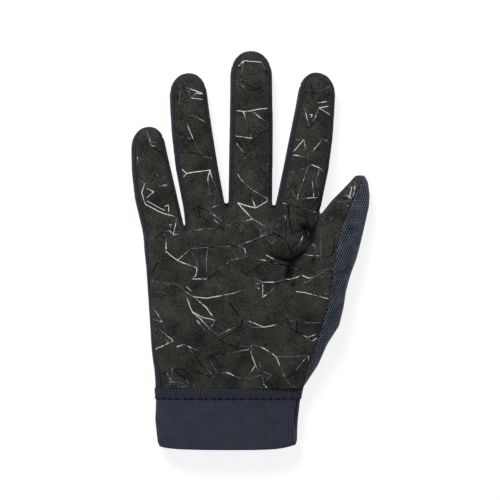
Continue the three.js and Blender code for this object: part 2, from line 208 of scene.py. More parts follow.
def suedeFinish():
    finish = Finish("suede")
    patch = finish.noise(suede["patch"], 4, 0.6)
    nap = finish.noise(suede["nap"], 3, 0.65)
    fibre = finish.noise(suede["fibre"], 2, 0.7)
    tone = patch * 0.35 + nap * 0.35 + fibre * 0.5
    tint = finish.noise(suede["tint"], 3, 0.6)
    pile = finish.mixed(tone.step(*suede["contrast"]), suede["dark"], suede["light"])
    pile = finish.mixed(tint.step(*suede["tinted"]) * 0.6, pile, suede["green"])
    # painted highlight on the ridges, broken up by the nap
    pile = finish.mixed(finish.carried("ridge") * nap.step(0.3, 0.6), pile, suede["ridge_highlight"])
    # painted shade: the crease value darkens the pile in the folds
    finish.set(
        Base_Color=finish.mixed(finish.carried("crease_shade"), pile, suede["fold"]),
        Roughness=0.95,
        Sheen_Weight=0.05,
        Specular_IOR_Level=0.12,
        Normal=finish.bump(nap * 0.6 + fibre * 0.4, 0.3 * mm, 0.8),
    )
    return finish.material


knit = {
    "light": colour(40, 46, 61),
    "dark": colour(3, 4, 7),
    "course": 0.95 * mm,  # height of one row of stitches
    "wale": 0.8 * mm,  # width of one stitch
    "fuzz": 0.5 * mm,
    "contrast": (0.1, 0.8),
}


def knitFinish():
    finish = Finish("knit")
    x, y, z = finish.axes()
    side = x + z * 0.6
    across = side.math("PINGPONG", side / knit["wale"], 0.5) * 2
    along = (y - z * 0.9) / knit["course"] + across * 0.45
    rib = along.math("SINE", along * math.tau) * 0.5 + 0.5
    stitch = rib * (across * 1.2 + 0.1)
    fuzz = finish.noise(knit["fuzz"], 3, 0.7)
    tone = stitch * 0.7 + fuzz * 0.35
    yarn = finish.mixed(tone.step(*knit["contrast"]), knit["dark"], knit["light"])
    finish.set(
        # painted shade: the crease value darkens the yarn in the folds
        Base_Color=finish.mixed(finish.carried("crease_shade"), yarn, knit["dark"]),
        Roughness=0.85,
        Normal=finish.bump(stitch + fuzz * 0.3, 0.25 * mm, 0.8),
        **woolly,
    )
    return finish.material


meshCloth = {
    "light": colour(96, 106, 122),
    "shade": colour(30, 36, 48),
    # painted shade of the glove's inside, seen through the holes
    "dark": colour(1, 1, 3),
    "pitch": 1.7 * mm,
    "fuzz": 0.35 * mm,
    "uneven": 1.3 * mm,
    "patch": 7 * mm,
    "edge": (0.65, 1),  # of a hole, from thread to the painted shade inside it
    "contrast": (0.3, 0.85),
}


def meshFinish():
    finish = Finish("mesh")
    x, y, z = finish.axes()
    side = (x - z * 0.8) * (math.tau / meshCloth["pitch"])
    along = y * (math.tau / meshCloth["pitch"] / math.sqrt(3))
    fuzz = finish.noise(meshCloth["fuzz"], 3, 0.7)
    uneven = finish.noise(meshCloth["uneven"], 2, 0.6)
    peaks = side.math("COSINE", side) * along.math("COSINE", along)
    hole = (peaks + uneven * 1.3).step(*meshCloth["edge"])
    patch = finish.noise(meshCloth["patch"], 2, 0.5)
    thread = (fuzz * 0.6 + patch * 0.5).step(*meshCloth["contrast"])
    light = finish.mixed(thread, meshCloth["shade"], meshCloth["light"])
    finish.set(
        # the holes are painted dark: painted shade
        Base_Color=finish.mixed(hole, light, meshCloth["dark"]),
        Roughness=0.8,
        Normal=finish.bump((1 - hole) + fuzz * 0.25, 0.35 * mm, 0.8),
        **woolly,
    )
    return finish.material


elastic = {
    "light": colour(60, 63, 80),
    "dark": colour(13, 15, 22),
    "seam": colour(44, 48, 62),  # under the overlock threads
    "rib": 1.1 * mm,
    "cord": 1 * mm,
    "fuzz": 0.4 * mm,
    "patch": 8 * mm,
    "contrast": (0.2, 0.9),
}


def elasticFinish(name, light, dark):
    finish = Finish(name)
    x, y, z = finish.axes()
    rows = y * (math.tau / elastic["rib"])
    columns = (x + z) * (math.tau / elastic["cord"])
    row = rows.math("SINE", rows) * 0.5 + 0.5
    column = columns.math("SINE", columns) * 0.5 + 0.5
    fuzz = finish.noise(elastic["fuzz"], 3, 0.7)
    patch = finish.noise(elastic["patch"], 3, 0.5)
    weave = row * 0.25 + column * 0.25 + fuzz * 0.4 + patch * 0.25
    woven = finish.mixed(weave.step(*elastic["contrast"]), dark, light)
    finish.set(
        # painted shade: the crease value darkens the weave in the lip's groove
        Base_Color=finish.mixed(finish.carried("crease_shade"), woven, dark),
        Roughness=0.85,
        Normal=finish.bump(row * 0.6 + column * 0.4 + fuzz * 0.3, 0.2 * mm, 0.7),
        **woolly,
    )
    return finish.material


gripInk = {
    # pale and grey: partly the silicone's own tone, partly painted highlight
    "pale": colour(214, 217, 214),
    "grey": colour(86, 93, 98),
    "black": colour(2, 3, 4),
    "flow": 16 * mm,
    "patch": 2.5 * mm,
    "toGrey": (0.84, 0.98),
    "toPale": (1, 1.12),
}


def gripFinish():  # clear and black silicone, glossy; its pale and grey are partly the silicone's own tones and partly painted highlight
    finish = Finish("grip")
    glint = finish.carried("glint")
    flow = finish.noise(gripInk["flow"], 2, 0.5)
    patch = finish.noise(gripInk["patch"], 3, 0.6)
    # the level picks black, grey or pale: partly the print's own tones, partly painted highlight
    level = glint * 0.22 + flow * 1.2 + patch * 0.5
    dim = finish.mixed(level.step(*gripInk["toGrey"]), gripInk["black"], gripInk["grey"])
    finish.set(
        Base_Color=finish.mixed(level.step(*gripInk["toPale"]), dim, gripInk["pale"]),
        Roughness=0.4,
        Specular_IOR_Level=0.08,
    )
    return finish.material


def threadFinish(name, shade):
    finish = Finish(name)
    fuzz = finish.noise(0.4 * mm, 2, 0.6)
    dim = tuple(value * 0.45 for value in shade[:3]) + (1,)
    finish.set(
        Base_Color=finish.mixed(fuzz.step(0.35, 0.65), dim, shade),
        Roughness=0.7,
        Specular_IOR_Level=0.3,
    )
    return finish.material


finishes = {
    "thread": threadFinish("thread", colour(68, 78, 98)),
    "rim": threadFinish("rim", colour(34, 40, 53)),
    "thread_seam": threadFinish("thread_seam", colour(60, 69, 88)),
    "thread_pale": threadFinish("thread_pale", colour(172, 172, 160)),
    # painted shade for the gaps of the overlock's lower stitches
    "gap_shade": threadFinish("gap_shade", colour(9, 10, 15)),
    "suede": suedeFinish(),
    "grip": gripFinish(),
    "knit": knitFinish(),
    "mesh": meshFinish(),
    "elastic": elasticFinish("elastic", elastic["light"], elastic["dark"]),
    "seam": elasticFinish("seam", elastic["seam"], elastic["dark"]),
}
print("finishes", len(finishes))


def finished(thing, finish, *nodes):  # gives a piece its material and its place in the frame
    thing.data.materials.clear()
    thing.data.materials.append(finishes[finish])
    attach(thing, "root")
    if nodes:
        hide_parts(*nodes)
    return thing


# The glove's outer form
form = {
    "voxel": 0.6 * mm,
    "plugGrowth": 0.2 * mm,
    "smoothing": 20,
    "blending": 10,  # passes that even out the panels' growth
    "settling": 60,  # passes that smooth heights alone, so that the outline stays
    "knuckleSettling": 160,
    "knuckles": (-14 * mm, 0, 22 * mm, 36 * mm),  # where the fingers run out of the palm
    "flat": (0.75, 0.95),  # upward share of the normal from which a point also moves sideways
}

# The gap between the little and the ring finger is narrower than the voxels, so it is widened first.
# Its line starts at the crotch and leans by so much sideways for each step up the fingers.
gap = {"foot": (-36, 12.2), "lean": -0.208, "shift": 0.42, "reach": 4, "fades": (8.5, 11.5, 24, 34)}


def rising(value, low, full, fullTo, high):  # from 0 to 1 and back again
    return smoothstep(value, low, full) * (1 - smoothstep(value, fullTo, high))


def widened(place):
    x, y = place.x / mm, place.y / mm
    away = x - gap["foot"][0] - (y - gap["foot"][1]) * gap["lean"]
    share = rising(y, *gap["fades"])
    place.x += mm * gap["shift"] * share * away / (abs(away) + 0.3) * math.exp(-((away / gap["reach"]) ** 2))


def swollen(mesh, growth):  # a copy of a closed mesh with each point moved out
    bm = bmesh.new()
    bm.from_mesh(mesh)
    bmesh.ops.remove_doubles(bm, verts=bm.verts, dist=1e-6)
    for vert in bm.verts:
        widened(vert.co)
    return grown(bm, growth)


def grown(bm, growth):
    bm.normal_update()
    places = [v.co + v.normal * growth for v in bm.verts]
    for vert, place in zip(bm.verts, places):
        vert.co = place
    mesh = bpy.data.meshes.new("swollen")
    bm.to_mesh(mesh)
    bm.free()
    return mesh


def wristPlug():  # closes the hollow at the wrist
    bm = bmesh.new()
    bm.from_mesh(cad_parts["cuff_seam"].data)
    hull = bmesh.ops.convex_hull(bm, input=bm.verts)
    loose = {g for g in hull["geom_interior"] + hull["geom_unused"] if isinstance(g, bmesh.types.BMVert)}
    bmesh.ops.delete(bm, geom=list(loose), context="VERTS")
    return grown(bm, form["plugGrowth"])


def outerForm():  # one smooth skin over all the CAD panels
    bm = bmesh.new()
    for panel in panels.values():
        bm.from_mesh(swollen(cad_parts[panel["node"]].data, panel["growth"]))
    bm.from_mesh(wristPlug())
    mesh = bpy.data.meshes.new("outer form")
    bm.to_mesh(mesh)
    bm.free()
    skin = bpy.data.objects.new("outer form", mesh)
    bpy.context.scene.collection.objects.link(skin)
    applied(skin, "REMESH", mode="VOXEL", voxel_size=form["voxel"])
    applied(skin, "SMOOTH", factor=0.5, iterations=form["smoothing"])
    bm = bmesh.new()
    bm.from_mesh(skin.data)
    everything = bm.verts[:] + bm.edges[:] + bm.faces[:]
    bmesh.ops.bisect_plane(
        bm, geom=everything, plane_co=(0, wristY, 0), plane_no=(0, -1, 0), clear_outer=True, dist=1e-6
    )
    bmesh.ops.triangulate(bm, faces=bm.faces)
    bm.verts.index_update()
    points = np.array([v.co for v in bm.verts])
    faces = np.array([[v.index for v in f.verts] for f in bm.faces])
    bm.free()
    bpy.data.objects.remove(skin)
    return points, faces


def sidesOf(faces):  # the sides of each triangle, as pairs of points
    return np.sort(np.concatenate([faces[:, [0, 1]], faces[:, [1, 2]], faces[:, [2, 0]]]), axis=1)


def edgesOf(faces):
    return np.unique(sidesOf(faces), axis=0)


def relaxed(values, edges, passes, weight=0.5):  # each value moves towards the mean of its neighbours
    a, b = edges.T
    count = np.bincount(edges.ravel(), minlength=len(values))
    values = np.array(values)
    for _ in range(passes):
        total = np.bincount(a, values[b], len(values)) + np.bincount(b, values[a], len(values))
        values += weight * (total / count - values)
    return values


def normalsOf(points, faces):
    a, b, c = (points[faces[:, i]] for i in range(3))
    across = np.cross(b - a, c - a)
    normals = np.zeros_like(points)
    for i in range(3):
        for axis in range(3):
            normals[:, axis] += np.bincount(faces[:, i], across[:, axis], len(points))
    return normals / np.maximum(np.linalg.norm(normals, axis=1, keepdims=True), 1e-12)


# The thumb's suede is drawn round its inner side, above the crotch
thumbWrap = {"side": (-22, -18), "from": (14, 20), "right": 38, "reach": 2.6 * mm}
fieldSmoothing = 6


def seamFields(points, edges):  # for each panel, how far a point lies outside its seams
    trees = []
    for panel in panels.values():
        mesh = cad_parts[panel["node"]].data
        trees.append(BVHTree.FromPolygons([v.co for v in mesh.vertices], [p.vertices for p in mesh.polygons]))
    away = np.array([[tree.find_nearest(Vector(p))[3] for tree in trees] for p in points])
    x, y = points[:, 0] / mm, points[:, 1] / mm
    inner = smoothstep(y - x, *thumbWrap["side"]) * smoothstep(y, *thumbWrap["from"])
    inner = inner * (x > thumbWrap["right"])
    away[:, list(panels).index("thumb_suede")] -= inner * thumbWrap["reach"]
    fields = np.empty_like(away)
    for i in range(len(trees)):
        others = np.delete(away, i, axis=1).min(axis=1)
        fields[:, i] = relaxed((away[:, i] - others) / 2, edges, fieldSmoothing)
    return fields


def settled(points, faces, edges, fields):  # cloth lies softer than the CAD's facets and finger roots
    growths = np.array([panel["growth"] for panel in panels.values()])
    normals = normalsOf(points, faces)
    swelling = relaxed(growths[fields.argmin(axis=1)], edges, form["blending"])
    points = points - normals * swelling[:, None]
    y = points[:, 1].copy()
    knuckle = rising(y, *form["knuckles"])
    flat = smoothstep(np.abs(normals[:, 2]), *form["flat"])
    flat[y < wristY + mm] = 0
    for passes, weight in ((form["settling"], 1), (form["knuckleSettling"], knuckle)):
        for axis, share in enumerate((flat, flat, 1)):
            points[:, axis] = relaxed(points[:, axis], edges, passes, 0.5 * share * weight)
    return points


# Folds of the suede, in millimetres from the glove's middle. Each valley runs through its points
# with a width to either side and a depth. A depth below nothing is a ridge.
folds = [
    {"at": "beside the thumb", "line": [(27.9, 13.4), (31.2, 10.6), (33.8, 5.6)], "wide": 2.4, "deep": 4.2},
    {
        "at": "thumb's crotch", "wide": 1, "deep": 1.3,
        "line": [(38.3, 18.5), (36.4, 14.1), (34.6, 9.2), (32.8, 4.2)],
    },
    {
        "at": "under the pad", "wide": 1.1, "deep": 2.3,
        "line": [(11, -2.2), (14.7, -4.1), (18.8, -5.3), (23.2, -5.3), (27.6, -2.6), (30.5, 0.4), (32, 3.3)],
    },
    {
        "at": "below the pad", "wide": 2, "deep": 3.6,
        "line": [(22.9, -5.6), (22.1, -10), (20.6, -13.6), (20, -17)],
    },
    {"at": "its lower end", "line": [(23.2, -16.5), (23.7, -20.5)], "wide": 1.4, "deep": 1.4},
    {"at": "inside the thumb's root", "line": [(33.2, -3.4), (34.8, -7)], "wide": 1.4, "deep": 1.6},
    {"at": "above the thumb's seam", "line": [(29.5, -11.4), (35.7, -12.5)], "wide": 1.5, "deep": 0.9},
    {"at": "left of the pad", "line": [(12.4, -6.3), (17.2, -8.2)], "wide": 0.9, "deep": 0.9},
    {"at": "thumb's long ridge", "line": [(38.1, 12.2), (38.4, 2), (38.3, -8.5)], "wide": 0.6, "deep": -0.8},
    {"at": "beside the ridge", "line": [(36.7, 11), (36.9, 2), (36.8, -8)], "wide": 1.1, "deep": 0.7},
    {"at": "thumb's tip", "line": [(52.6, 34.6), (60, 35.4)], "wide": 0.6, "deep": -0.7},
    {"at": "thumb's tip", "line": [(49.6, 29.6), (56.4, 29.8)], "wide": 0.6, "deep": -0.75},
    {"at": "thumb's tip", "line": [(46, 26.6), (55.4, 26.9)], "wide": 0.6, "deep": -0.7},
    {"at": "thumb's tip", "line": [(48, 28.1), (55.8, 28.3)], "wide": 0.8, "deep": 0.7},
    {"at": "thumb's side", "line": [(42, 9.6), (50, 8.8)], "wide": 1.2, "deep": 0.4},
    {"at": "little finger's root", "line": [(-54.5, 24.4), (-48, 22.6), (-41, 24.4)], "wide": 2.2, "deep": 1},
    {"at": "little finger", "line": [(-59, 44), (-50, 43)], "wide": 2, "deep": 0.6},
    {"at": "ring finger", "line": [(-33, 45), (-22, 43.6)], "wide": 2.2, "deep": 0.8},
    {"at": "ring finger's root", "line": [(-33, 14.5), (-26, 12.6), (-20, 15)], "wide": 2.4, "deep": 0.9},
    {"at": "between two roots", "line": [(-15.7, 16.5), (-24.5, 1.8)], "wide": 2.8, "deep": 0.8},
    {"at": "middle finger's root", "line": [(-8, 24), (1, 22.4), (9, 24.2)], "wide": 2.4, "deep": 0.5},
    {"at": "middle finger", "line": [(-8.5, 58), (9, 56.4)], "wide": 2.2, "deep": 0.4},
    {"at": "index finger", "line": [(27, 44), (39.5, 46)], "wide": 2.2, "deep": 0.45},
    {"at": "index finger's root", "line": [(17.5, 21), (27, 19), (36.5, 22)], "wide": 2.6, "deep": 0.6},
    {"at": "heel of the hand", "line": [(-40, -44), (-12, -55), (20, -50)], "wide": 6, "deep": 0.7},
    {"at": "index finger's side", "line": [(29.4, 22), (31.4, 16.4), (33.8, 9.8)], "wide": 0.6, "deep": 0.8},
    {"at": "index finger's edge", "line": [(35.9, 21), (35.2, 15), (34.6, 9.5)], "wide": 0.6, "deep": 0.7},
    {"at": "little finger's crotch", "line": [(-36, 12.4), (-36, 11.4)], "wide": 0.9, "deep": 2.4},
    {"at": "ring finger's crotch", "line": [(-13, 25.6), (-13, 23.4)], "wide": 1.3, "deep": 3},
    {"at": "middle finger's crotch", "line": [(12.7, 24.8), (12.8, 22.8)], "wide": 1.3, "deep": 3},
    {"at": "across the palm", "line": [(-46, -8), (-20, -2), (6, -14), (14, -34)], "wide": 5, "deep": 0.8},
    {"at": "towards the wrist", "line": [(-22, -20), (-27, -44), (-26, -70)], "wide": 4, "deep": 0.5},
    {"at": "ball of the thumb", "line": [(24, -28), (33, -46), (34, -66)], "wide": 5, "deep": 0.6},
]
mounds = [
    {"at": (19.5, 2.2), "size": (10.5, 5), "turn": 14, "high": 2},
    {"at": (28.3, -7.2), "size": (4.4, 4), "turn": 0, "high": 1.5},
    {"at": (26, -36), "size": (14, 22), "turn": -12, "high": 0.7},
    {"at": (-30, -30), "size": (15, 24), "turn": 6, "high": 0.6},
]
waves = [
    {"size": 24 * mm, "high": 0.5 * mm},
    {"size": 8 * mm, "high": 0.16 * mm},
]
fuller = 0.35 * mm  # how far the sides swell outward
gathers = {  # drawn in by the cuff
    "size": (4.4 * mm, 30 * mm, 9 * mm),
    "high": 0.28 * mm,
    "reach": 13 * mm,
}


def awayFromLine(place, line):  # distance to a line through points, and how far along it as a share
    line = np.array(line)
    best = np.full(len(place), np.inf)
    along = np.zeros(len(place))
    lengths = np.linalg.norm(np.diff(line, axis=0), axis=1)
    for i, length in enumerate(lengths):
        way = (line[i + 1] - line[i]) / length
        reach = np.clip((place - line[i]) @ way, 0, length)
        away = np.linalg.norm(place - line[i] - reach[:, None] * way, axis=1)
        nearer = away < best
        best[nearer] = away[nearer]
        along[nearer] = ((lengths[:i].sum() + reach) / lengths.sum())[nearer]
    return best, along


def foldDepth(plan):  # in millimetres, at places seen from above
    drop = np.zeros(len(plan))
    for fold in folds:
        away, along = awayFromLine(plan, fold["line"])
        fading = 0.25 + 0.75 * np.sin(math.pi * np.clip(along, 0.02, 0.98)) ** 0.7
        drop += fold["deep"] * fading * np.exp(-((away / fold["wide"]) ** 1.5))
    return drop


def folded(points, faces):  # presses the folds and waves into the settled form
    normals = normalsOf(points, faces)
    plan = points[:, :2] / mm
    up = smoothstep(normals[:, 2], 0.15, 0.7)
    drop = foldDepth(plan)
    for mound in mounds:
        turn = math.radians(mound["turn"])
        x, y = (plan - mound["at"]).T
        across = (x * math.cos(turn) + y * math.sin(turn)) / mound["size"][0]
        along = (y * math.cos(turn) - x * math.sin(turn)) / mound["size"][1]
        drop -= mound["high"] * np.exp(-(across**2) - along**2)
    points = points.copy()
    points[:, 2] -= drop * mm * up
    wrist = np.exp(-(points[:, 1] - wristY) / gathers["reach"])
    for i, place in enumerate(points):
        spot = Vector(place)
        wave = sum(w["high"] * noise.noise(spot / w["size"]) for w in waves)
        gather = noise.noise(Vector([value / size for value, size in zip(place, gathers["size"])]))
        wave += gathers["high"] * wrist[i] * gather
        points[i] += normals[i] * (wave * min(1, max(0.25, up[i])))
    points += normals * (fuller * (1 - np.abs(normals[:, 2])))[:, None]
    points[:, 2] = np.maximum(points[:, 2], 0)
    return points


# Seams: the form is cut into panels along the lines where two CAD panels are equally near.
# Smoothing is how many passes straighten the seams, the cloth beside them and its normals.
seam = {
    "snap": 0.12 * mm,
    "rows": (0, -0.45 * mm, -1.2 * mm),  # rows of points beside each seam, as depths inside the panel
    "join": 0.1 * mm,  # shorter edges than this are closed up
    "smoothing": 8,
    "besideSmoothing": 8,
    "normalSmoothing": 6,
    "wall": 1.2 * mm,
    "insideShare": 0.62,  # of the faces stay when the inside is thinned out
    "floor": 0.02 * mm,  # the least height of a panel
}


def cutAlong(points, fields, faces, column, level):  # puts points and edges along one line of a field
    side = fields[:, column] - level
    side[np.abs(side) < seam["snap"]] = 0
    signs = np.sign(side)
    corner = signs[faces]
    crossed = (corner.min(axis=1) < 0) & (corner.max(axis=1) > 0)
    kept = faces[~crossed]
    newPoints, newFields, newFaces, made = [], [], [], {}

    def between(a, b):
        key = (min(a, b), max(a, b))
        if key not in made:
            share = side[a] / (side[a] - side[b])
            made[key] = len(points) + len(newPoints)
            newPoints.append(points[a] + (points[b] - points[a]) * share)
            newFields.append(fields[a] + (fields[b] - fields[a]) * share)
        return made[key]

    for face in faces[crossed]:
        for turn in range(3):
            a, b, c = (int(face[(turn + i) % 3]) for i in range(3))
            if signs[a] == 0:  # the line runs through a corner
                middle = between(b, c)
                newFaces += [(a, b, middle), (a, middle, c)]
                break
            if signs[a] != signs[b] and signs[a] != signs[c] and signs[b] * signs[c] > 0:
                ab, ac = between(a, b), between(a, c)
                newFaces += [(a, ab, ac), (ab, b, c), (ab, c, ac)]
                break
    if not newPoints:
        return points, fields, faces
    return (
        np.concatenate([points, newPoints]),
        np.concatenate([fields, newFields]),
        np.concatenate([kept, np.array(newFaces)]),
    )


def tidied(points, faces, owner, depth):  # closes up the short edges that the cuts leave
    bm = bmesh.new()
    deep = bm.verts.layers.float.new("depth")
    verts = [bm.verts.new(p) for p in points]
    for vert, value in zip(verts, depth):
        vert[deep] = value
    for face, index in zip(faces, owner):
        bm.faces.new([verts[i] for i in face]).material_index = int(index)
    bmesh.ops.remove_doubles(bm, verts=bm.verts, dist=seam["join"])
    bmesh.ops.triangulate(bm, faces=bm.faces)
    bm.verts.index_update()
    points = np.array([v.co for v in bm.verts])
    depth = np.array([v[deep] for v in bm.verts])
    faces = np.array([[v.index for v in f.verts] for f in bm.faces])
    owner = np.array([f.material_index for f in bm.faces])
    bm.free()
    return points, faces, owner, depth


def seamLines(faces, owner):  # the edges between two panels, and which two they are
    pairs = sidesOf(faces)
    owners = np.tile(owner, 3)
    order = np.lexsort((pairs[:, 1], pairs[:, 0]))
    pairs, owners = pairs[order], owners[order]
    same = (pairs[:-1] == pairs[1:]).all(axis=1)
    between = same & (owners[:-1] != owners[1:])
    return pairs[:-1][between], np.sort(np.stack([owners[:-1], owners[1:]], axis=1)[between], axis=1)


def straightened(points, faces, owner):  # takes the small steps out of the seams
    lines, _ = seamLines(faces, owner)
    ends = np.bincount(lines.ravel(), minlength=len(points))
    free = (ends == 2) & (points[:, 1] > wristY + seam["join"])
    on = ends > 0
    points = points.copy()
    for _ in range(seam["smoothing"]):
        total = np.zeros_like(points)
        for axis in range(3):
            total[:, axis] += np.bincount(lines[:, 0], points[lines[:, 1], axis], len(points))
            total[:, axis] += np.bincount(lines[:, 1], points[lines[:, 0], axis], len(points))
        points[free] += 0.5 * (total[free] / 2 - points[free])
    near = ~on & np.isin(np.arange(len(points)), faces[on[faces].any(axis=1)])
    near &= points[:, 1] > wristY + mm
    edges = edgesOf(faces)
    for axis in range(3):
        points[:, axis] = relaxed(points[:, axis], edges, seam["besideSmoothing"], 0.5 * near)
    return points


def shellOf(outer, normals, faces):  # closes a sheet with an inner side and a rim
    inner = outer - normals * seam["wall"]
    count = len(outer)
    ways = {(int(a), int(b)) for face in faces for a, b in zip(face, np.roll(face, -1))}
    rim = [(b, a, a + count, b + count) for a, b in sorted(ways) if (b, a) not in ways]
    return np.concatenate([outer, inner]), [*faces, *(faces[:, ::-1] + count), *rim]


# Depths and heights, in millimetres, over which painted shade darkens a fold and a painted highlight pales a
# ridge
shading = {"crease_shade": (0.2, 1.9), "darkest": 0.92, "ridge": (0.25, 0.7), "facing": (-0.1, 0.3)}


def panelObject(name, index):  # one panel of the skin, with rolled edges and its own thickness
    style = panels[name]
    mine = faces[owner == index]
    used, local = np.unique(mine, return_inverse=True)
    local = local.reshape(mine.shape)
    radius = style["roll"]
    into = np.clip(radius - depth[used], 0, radius)
    roll = radius - np.sqrt(radius**2 - into**2)
    place = points[used] - skinNormals[used] * roll[:, None]
    thing = objectFrom(name, *shellOf(place, skinNormals[used], local))
    facing = smoothstep(skinNormals[used][:, 2], *shading["facing"])
    depths = foldDepth(points[used][:, :2] / mm) * facing
    # painted shade in the folds and painted highlight on the ridges, where the cloth faces up
    carry(thing, "crease_shade", np.tile(shading["darkest"] * smoothstep(depths, *shading["crease_shade"]), 2))
    carry(thing, "ridge", np.tile(smoothstep(-depths, *shading["ridge"]), 2))
    inside = thing.vertex_groups.new(name="inside")
    inside.add(list(range(len(used), 2 * len(used))), 1, "ADD")
    applied(thing, "DECIMATE", ratio=seam["insideShare"], vertex_group=inside.name, vertex_group_factor=10)
    thing.vertex_groups.clear()
    for vert in thing.data.vertices:  # a thin place lets the inside through the floor
        vert.co.z = max(vert.co.z, seam["floor"])
    thing.data.polygons.foreach_set("use_smooth", [True] * len(thing.data.polygons))
    return finished(thing, style["finish"], style["node"])


points, faces = outerForm()
edges = edgesOf(faces)
print("outer form", len(points), "points", len(faces), "faces")
fields = seamFields(points, edges)
print("seam fields")
points = folded(settled(points, faces, edges, fields), faces)
print("folds")
for level in seam["rows"]:
    for column in range(len(panels)):
        points, fields, faces = cutAlong(points, fields, faces, column, level)
owner = fields[faces].mean(axis=1).argmin(axis=1)
points, faces, owner, depth = tidied(points, faces, owner, -fields.min(axis=1))
points = straightened(points, faces, owner)
print("seams cut", len(points), "points", len(faces), "faces", np.bincount(owner))
skinNormals = normalsOf(points, faces)
for axis in range(3):  # a folded triangle beside a seam must not turn its corner's normal
    skinNormals[:, axis] = relaxed(skinNormals[:, axis], edgesOf(faces), seam["normalSmoothing"])
skinNormals /= np.linalg.norm(skinNormals, axis=1, keepdims=True)
pieces = {}
for index, name in enumerate(panels):
    pieces[name] = panelObject(name, index)
    print(name, len(pieces[name].data.polygons), "faces")


# Cuff: each piece is a tube whose wall is folded over at both ends. The outline gives the left and
# right sides at heights down the wrist, and the lip is a groove down the thumb's side.
cuffShape = {"widest": 0.45, "flatten": 1.4, "square": 2.7, "sides": 180, "wall": 1.7 * mm}
cuffOutline = {
    "y": [-110, -106, -98, -93, -83, -80, -76.5, -74],
    "left": [-50.2, -51, -51.9, -52.4, -52, -52.3, -52.7, -52.8],
    "right": [25.7, 25.7, 25.9, 26.2, 27.3, 28, 28.9, 29.4],
}
lip = {"turn": 15, "wide": 2.6, "deep": 1.1 * mm, "ends": (-101 * mm, -91 * mm)}
hem = {
    "share": [0, 0.05, 0.13, 0.3, 0.5, 0.7, 0.82, 0.88, 0.93, 1],
    "drop": [0, 0.55, 1, 1.3, 1.4, 1.35, 1.1, 0.75, 0.2, -1],
    "corner": 2.4 * mm,
}


def hemAt(share):  # how the hem hangs, from the little finger's side to the thumb's
    return -np.interp(share, hem["share"], hem["drop"]) * mm


def cuffRing(section, inset):  # one ring round the wrist, some way in from the outside
    turn = np.arange(cuffShape["sides"]) * (math.tau / cuffShape["sides"])
    share = np.cos(turn)
    bulge = (1 - np.abs(share) ** cuffShape["square"]) ** (1 / cuffShape["square"])
    upper = turn <= math.pi
    inset = inset + lip["deep"] * section.get("lip", 0) * lipShare()
    middle = cuffShape["widest"] * section["height"]
    y = section["y"] + section.get("sag", 0) * hemAt((1 + share) / 2)
    down = section["y"] / mm
    left, right = (np.interp(down, cuffOutline["y"], cuffOutline[side]) * mm for side in ("left", "right"))
    half = (right - left) / 2 - section.get("corner", 0)
    x = (left + right) / 2 + (half - inset) * share
    top = middle + (section["height"] - middle - inset) * bulge
    low = middle - (middle - inset) * np.minimum(1, cuffShape["flatten"] * bulge)
    return np.stack([x, y, np.where(upper, top, low)], axis=1)


def lipShare():  # where the lip's groove lies round the ring
    turn = np.arange(cuffShape["sides"]) * (360 / cuffShape["sides"])
    return np.exp(-(((turn - lip["turn"]) / lip["wide"]) ** 2))


def turnedOver(end, shares, way):  # the rings of a round fold, at shares of the wall's thickness
    rings = []
    for share in shares:
        out = math.sqrt(max(0, 0.25 - (share - 0.5) ** 2)) * cuffShape["wall"] * way
        rings.append(cuffRing({**end, "y": end["y"] + out}, cuffShape["wall"] * share))
    return rings


def cuffTube(name, sections, ripple):  # a folded wall through the sections, from top to hem and back
    inward = [0.5 - 0.5 * math.cos(math.pi * i / 6) for i in range(1, 7)]
    rings = [cuffRing(section, ripple(section["y"])) for section in sections]
    rings += turnedOver(sections[-1], inward, -1)
    rings += [cuffRing(section, cuffShape["wall"]) for section in sections[-2:0:-3]]
    rings += turnedOver(sections[0], [1 - share for share in inward[:-1]], 1)
    lips = [section.get("lip", 0) for section in sections]
    sides = cuffShape["sides"]
    count = len(rings)
    quads = []
    for r in range(count):
        for i in range(sides):
            after, beside = (r + 1) % count * sides, (i + 1) % sides
            quads.append((r * sides + i, r * sides + beside, after + beside, after + i))
    thing = objectFrom(name, np.concatenate(rings), quads)
    lips += [0] * (count - len(lips))
    # painted shade along the lip's groove
    carry(thing, "crease_shade", np.concatenate([lipShare() * share for share in lips]))
    selectOnly(thing)
    bpy.ops.object.mode_set(mode="EDIT")
    bpy.ops.mesh.select_all(action="SELECT")
    bpy.ops.mesh.normals_make_consistent(inside=False)
    bpy.ops.object.mode_set(mode="OBJECT")
    return thing


band = {
    "rows": 100,
    "tuck": 1.2 * mm,  # of its upper end, under the overlocked seam
    "hang": 2.1 * mm,  # left for the hem below the tube
    "thins": 0.3 * mm,  # towards the hem
    "corner": 0.5 * mm,
    "ripple": 0.015 * mm,
}


def cuffBand():
    low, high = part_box("cuff_band")
    top = high.y + band["tuck"]
    end = low.y + band["hang"] + cuffShape["wall"] / 2
    rows = band["rows"]
    rib = math.tau / elastic["rib"]
    sections = []
    for i in range(rows + 1):
        y = top + (end - top) * i / rows
        last = smoothstep(y, end + hem["corner"], end)
        sections.append({
            "y": y,
            "height": high.z - band["thins"] * i / rows,
            "sag": smoothstep(i / rows, 0, 1),
            "corner": band["corner"] * last**2,
            "lip": smoothstep(y, *lip["ends"]),
        })
    return cuffTube("cuff_band_knit", sections, lambda y: band["ripple"] * (1 + math.cos(rib * y)))


seamTube = {"rows": 16, "over": 0.5 * mm, "inset": 0.1 * mm}  # over is how far it laps onto the panels


def cuffSeam():
    low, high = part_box("cuff_seam")
    wall = cuffShape["wall"]
    top, end = high.y - wall / 2 + seamTube["over"], low.y + wall / 2
    rows = seamTube["rows"]
    sections = [{"y": top + (end - top) * i / rows, "height": high.z} for i in range(rows + 1)]
    return cuffTube("cuff_seam_knit", sections, lambda y: seamTube["inset"])


# Threads and printed lines are closed bars of one profile along paths of places and normals
barFloor = 0.01 * mm


